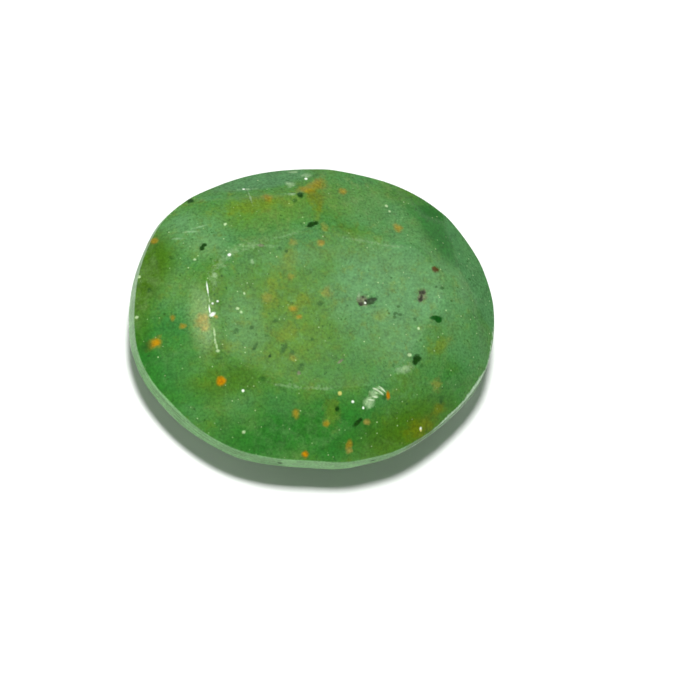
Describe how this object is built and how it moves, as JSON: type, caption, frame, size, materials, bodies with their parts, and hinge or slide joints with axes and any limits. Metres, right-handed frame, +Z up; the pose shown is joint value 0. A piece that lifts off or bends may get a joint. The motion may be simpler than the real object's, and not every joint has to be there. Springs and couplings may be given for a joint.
{
  "type": "faceted aventurine gemstone",
  "caption": "Oval faceted gemstone of green aventurine with a flat table, a ground girdle and a flat culet to rest on.",
  "frame": {"origin": "middle of the box, on the surface that the flat culet rests on", "axes": "+Z up through the table, +X along the oval's length"},
  "size_m": [0.0162, 0.0136, 0.0053],
  "materials": {
    "aventurine": "polished facets with a ground girdle; cloudy green stone that hides what is behind it, with dark and rust-coloured specks"
  },
  "bodies": {
    "root": {"stone": "aventurine"}
  },
  "joints": []
}
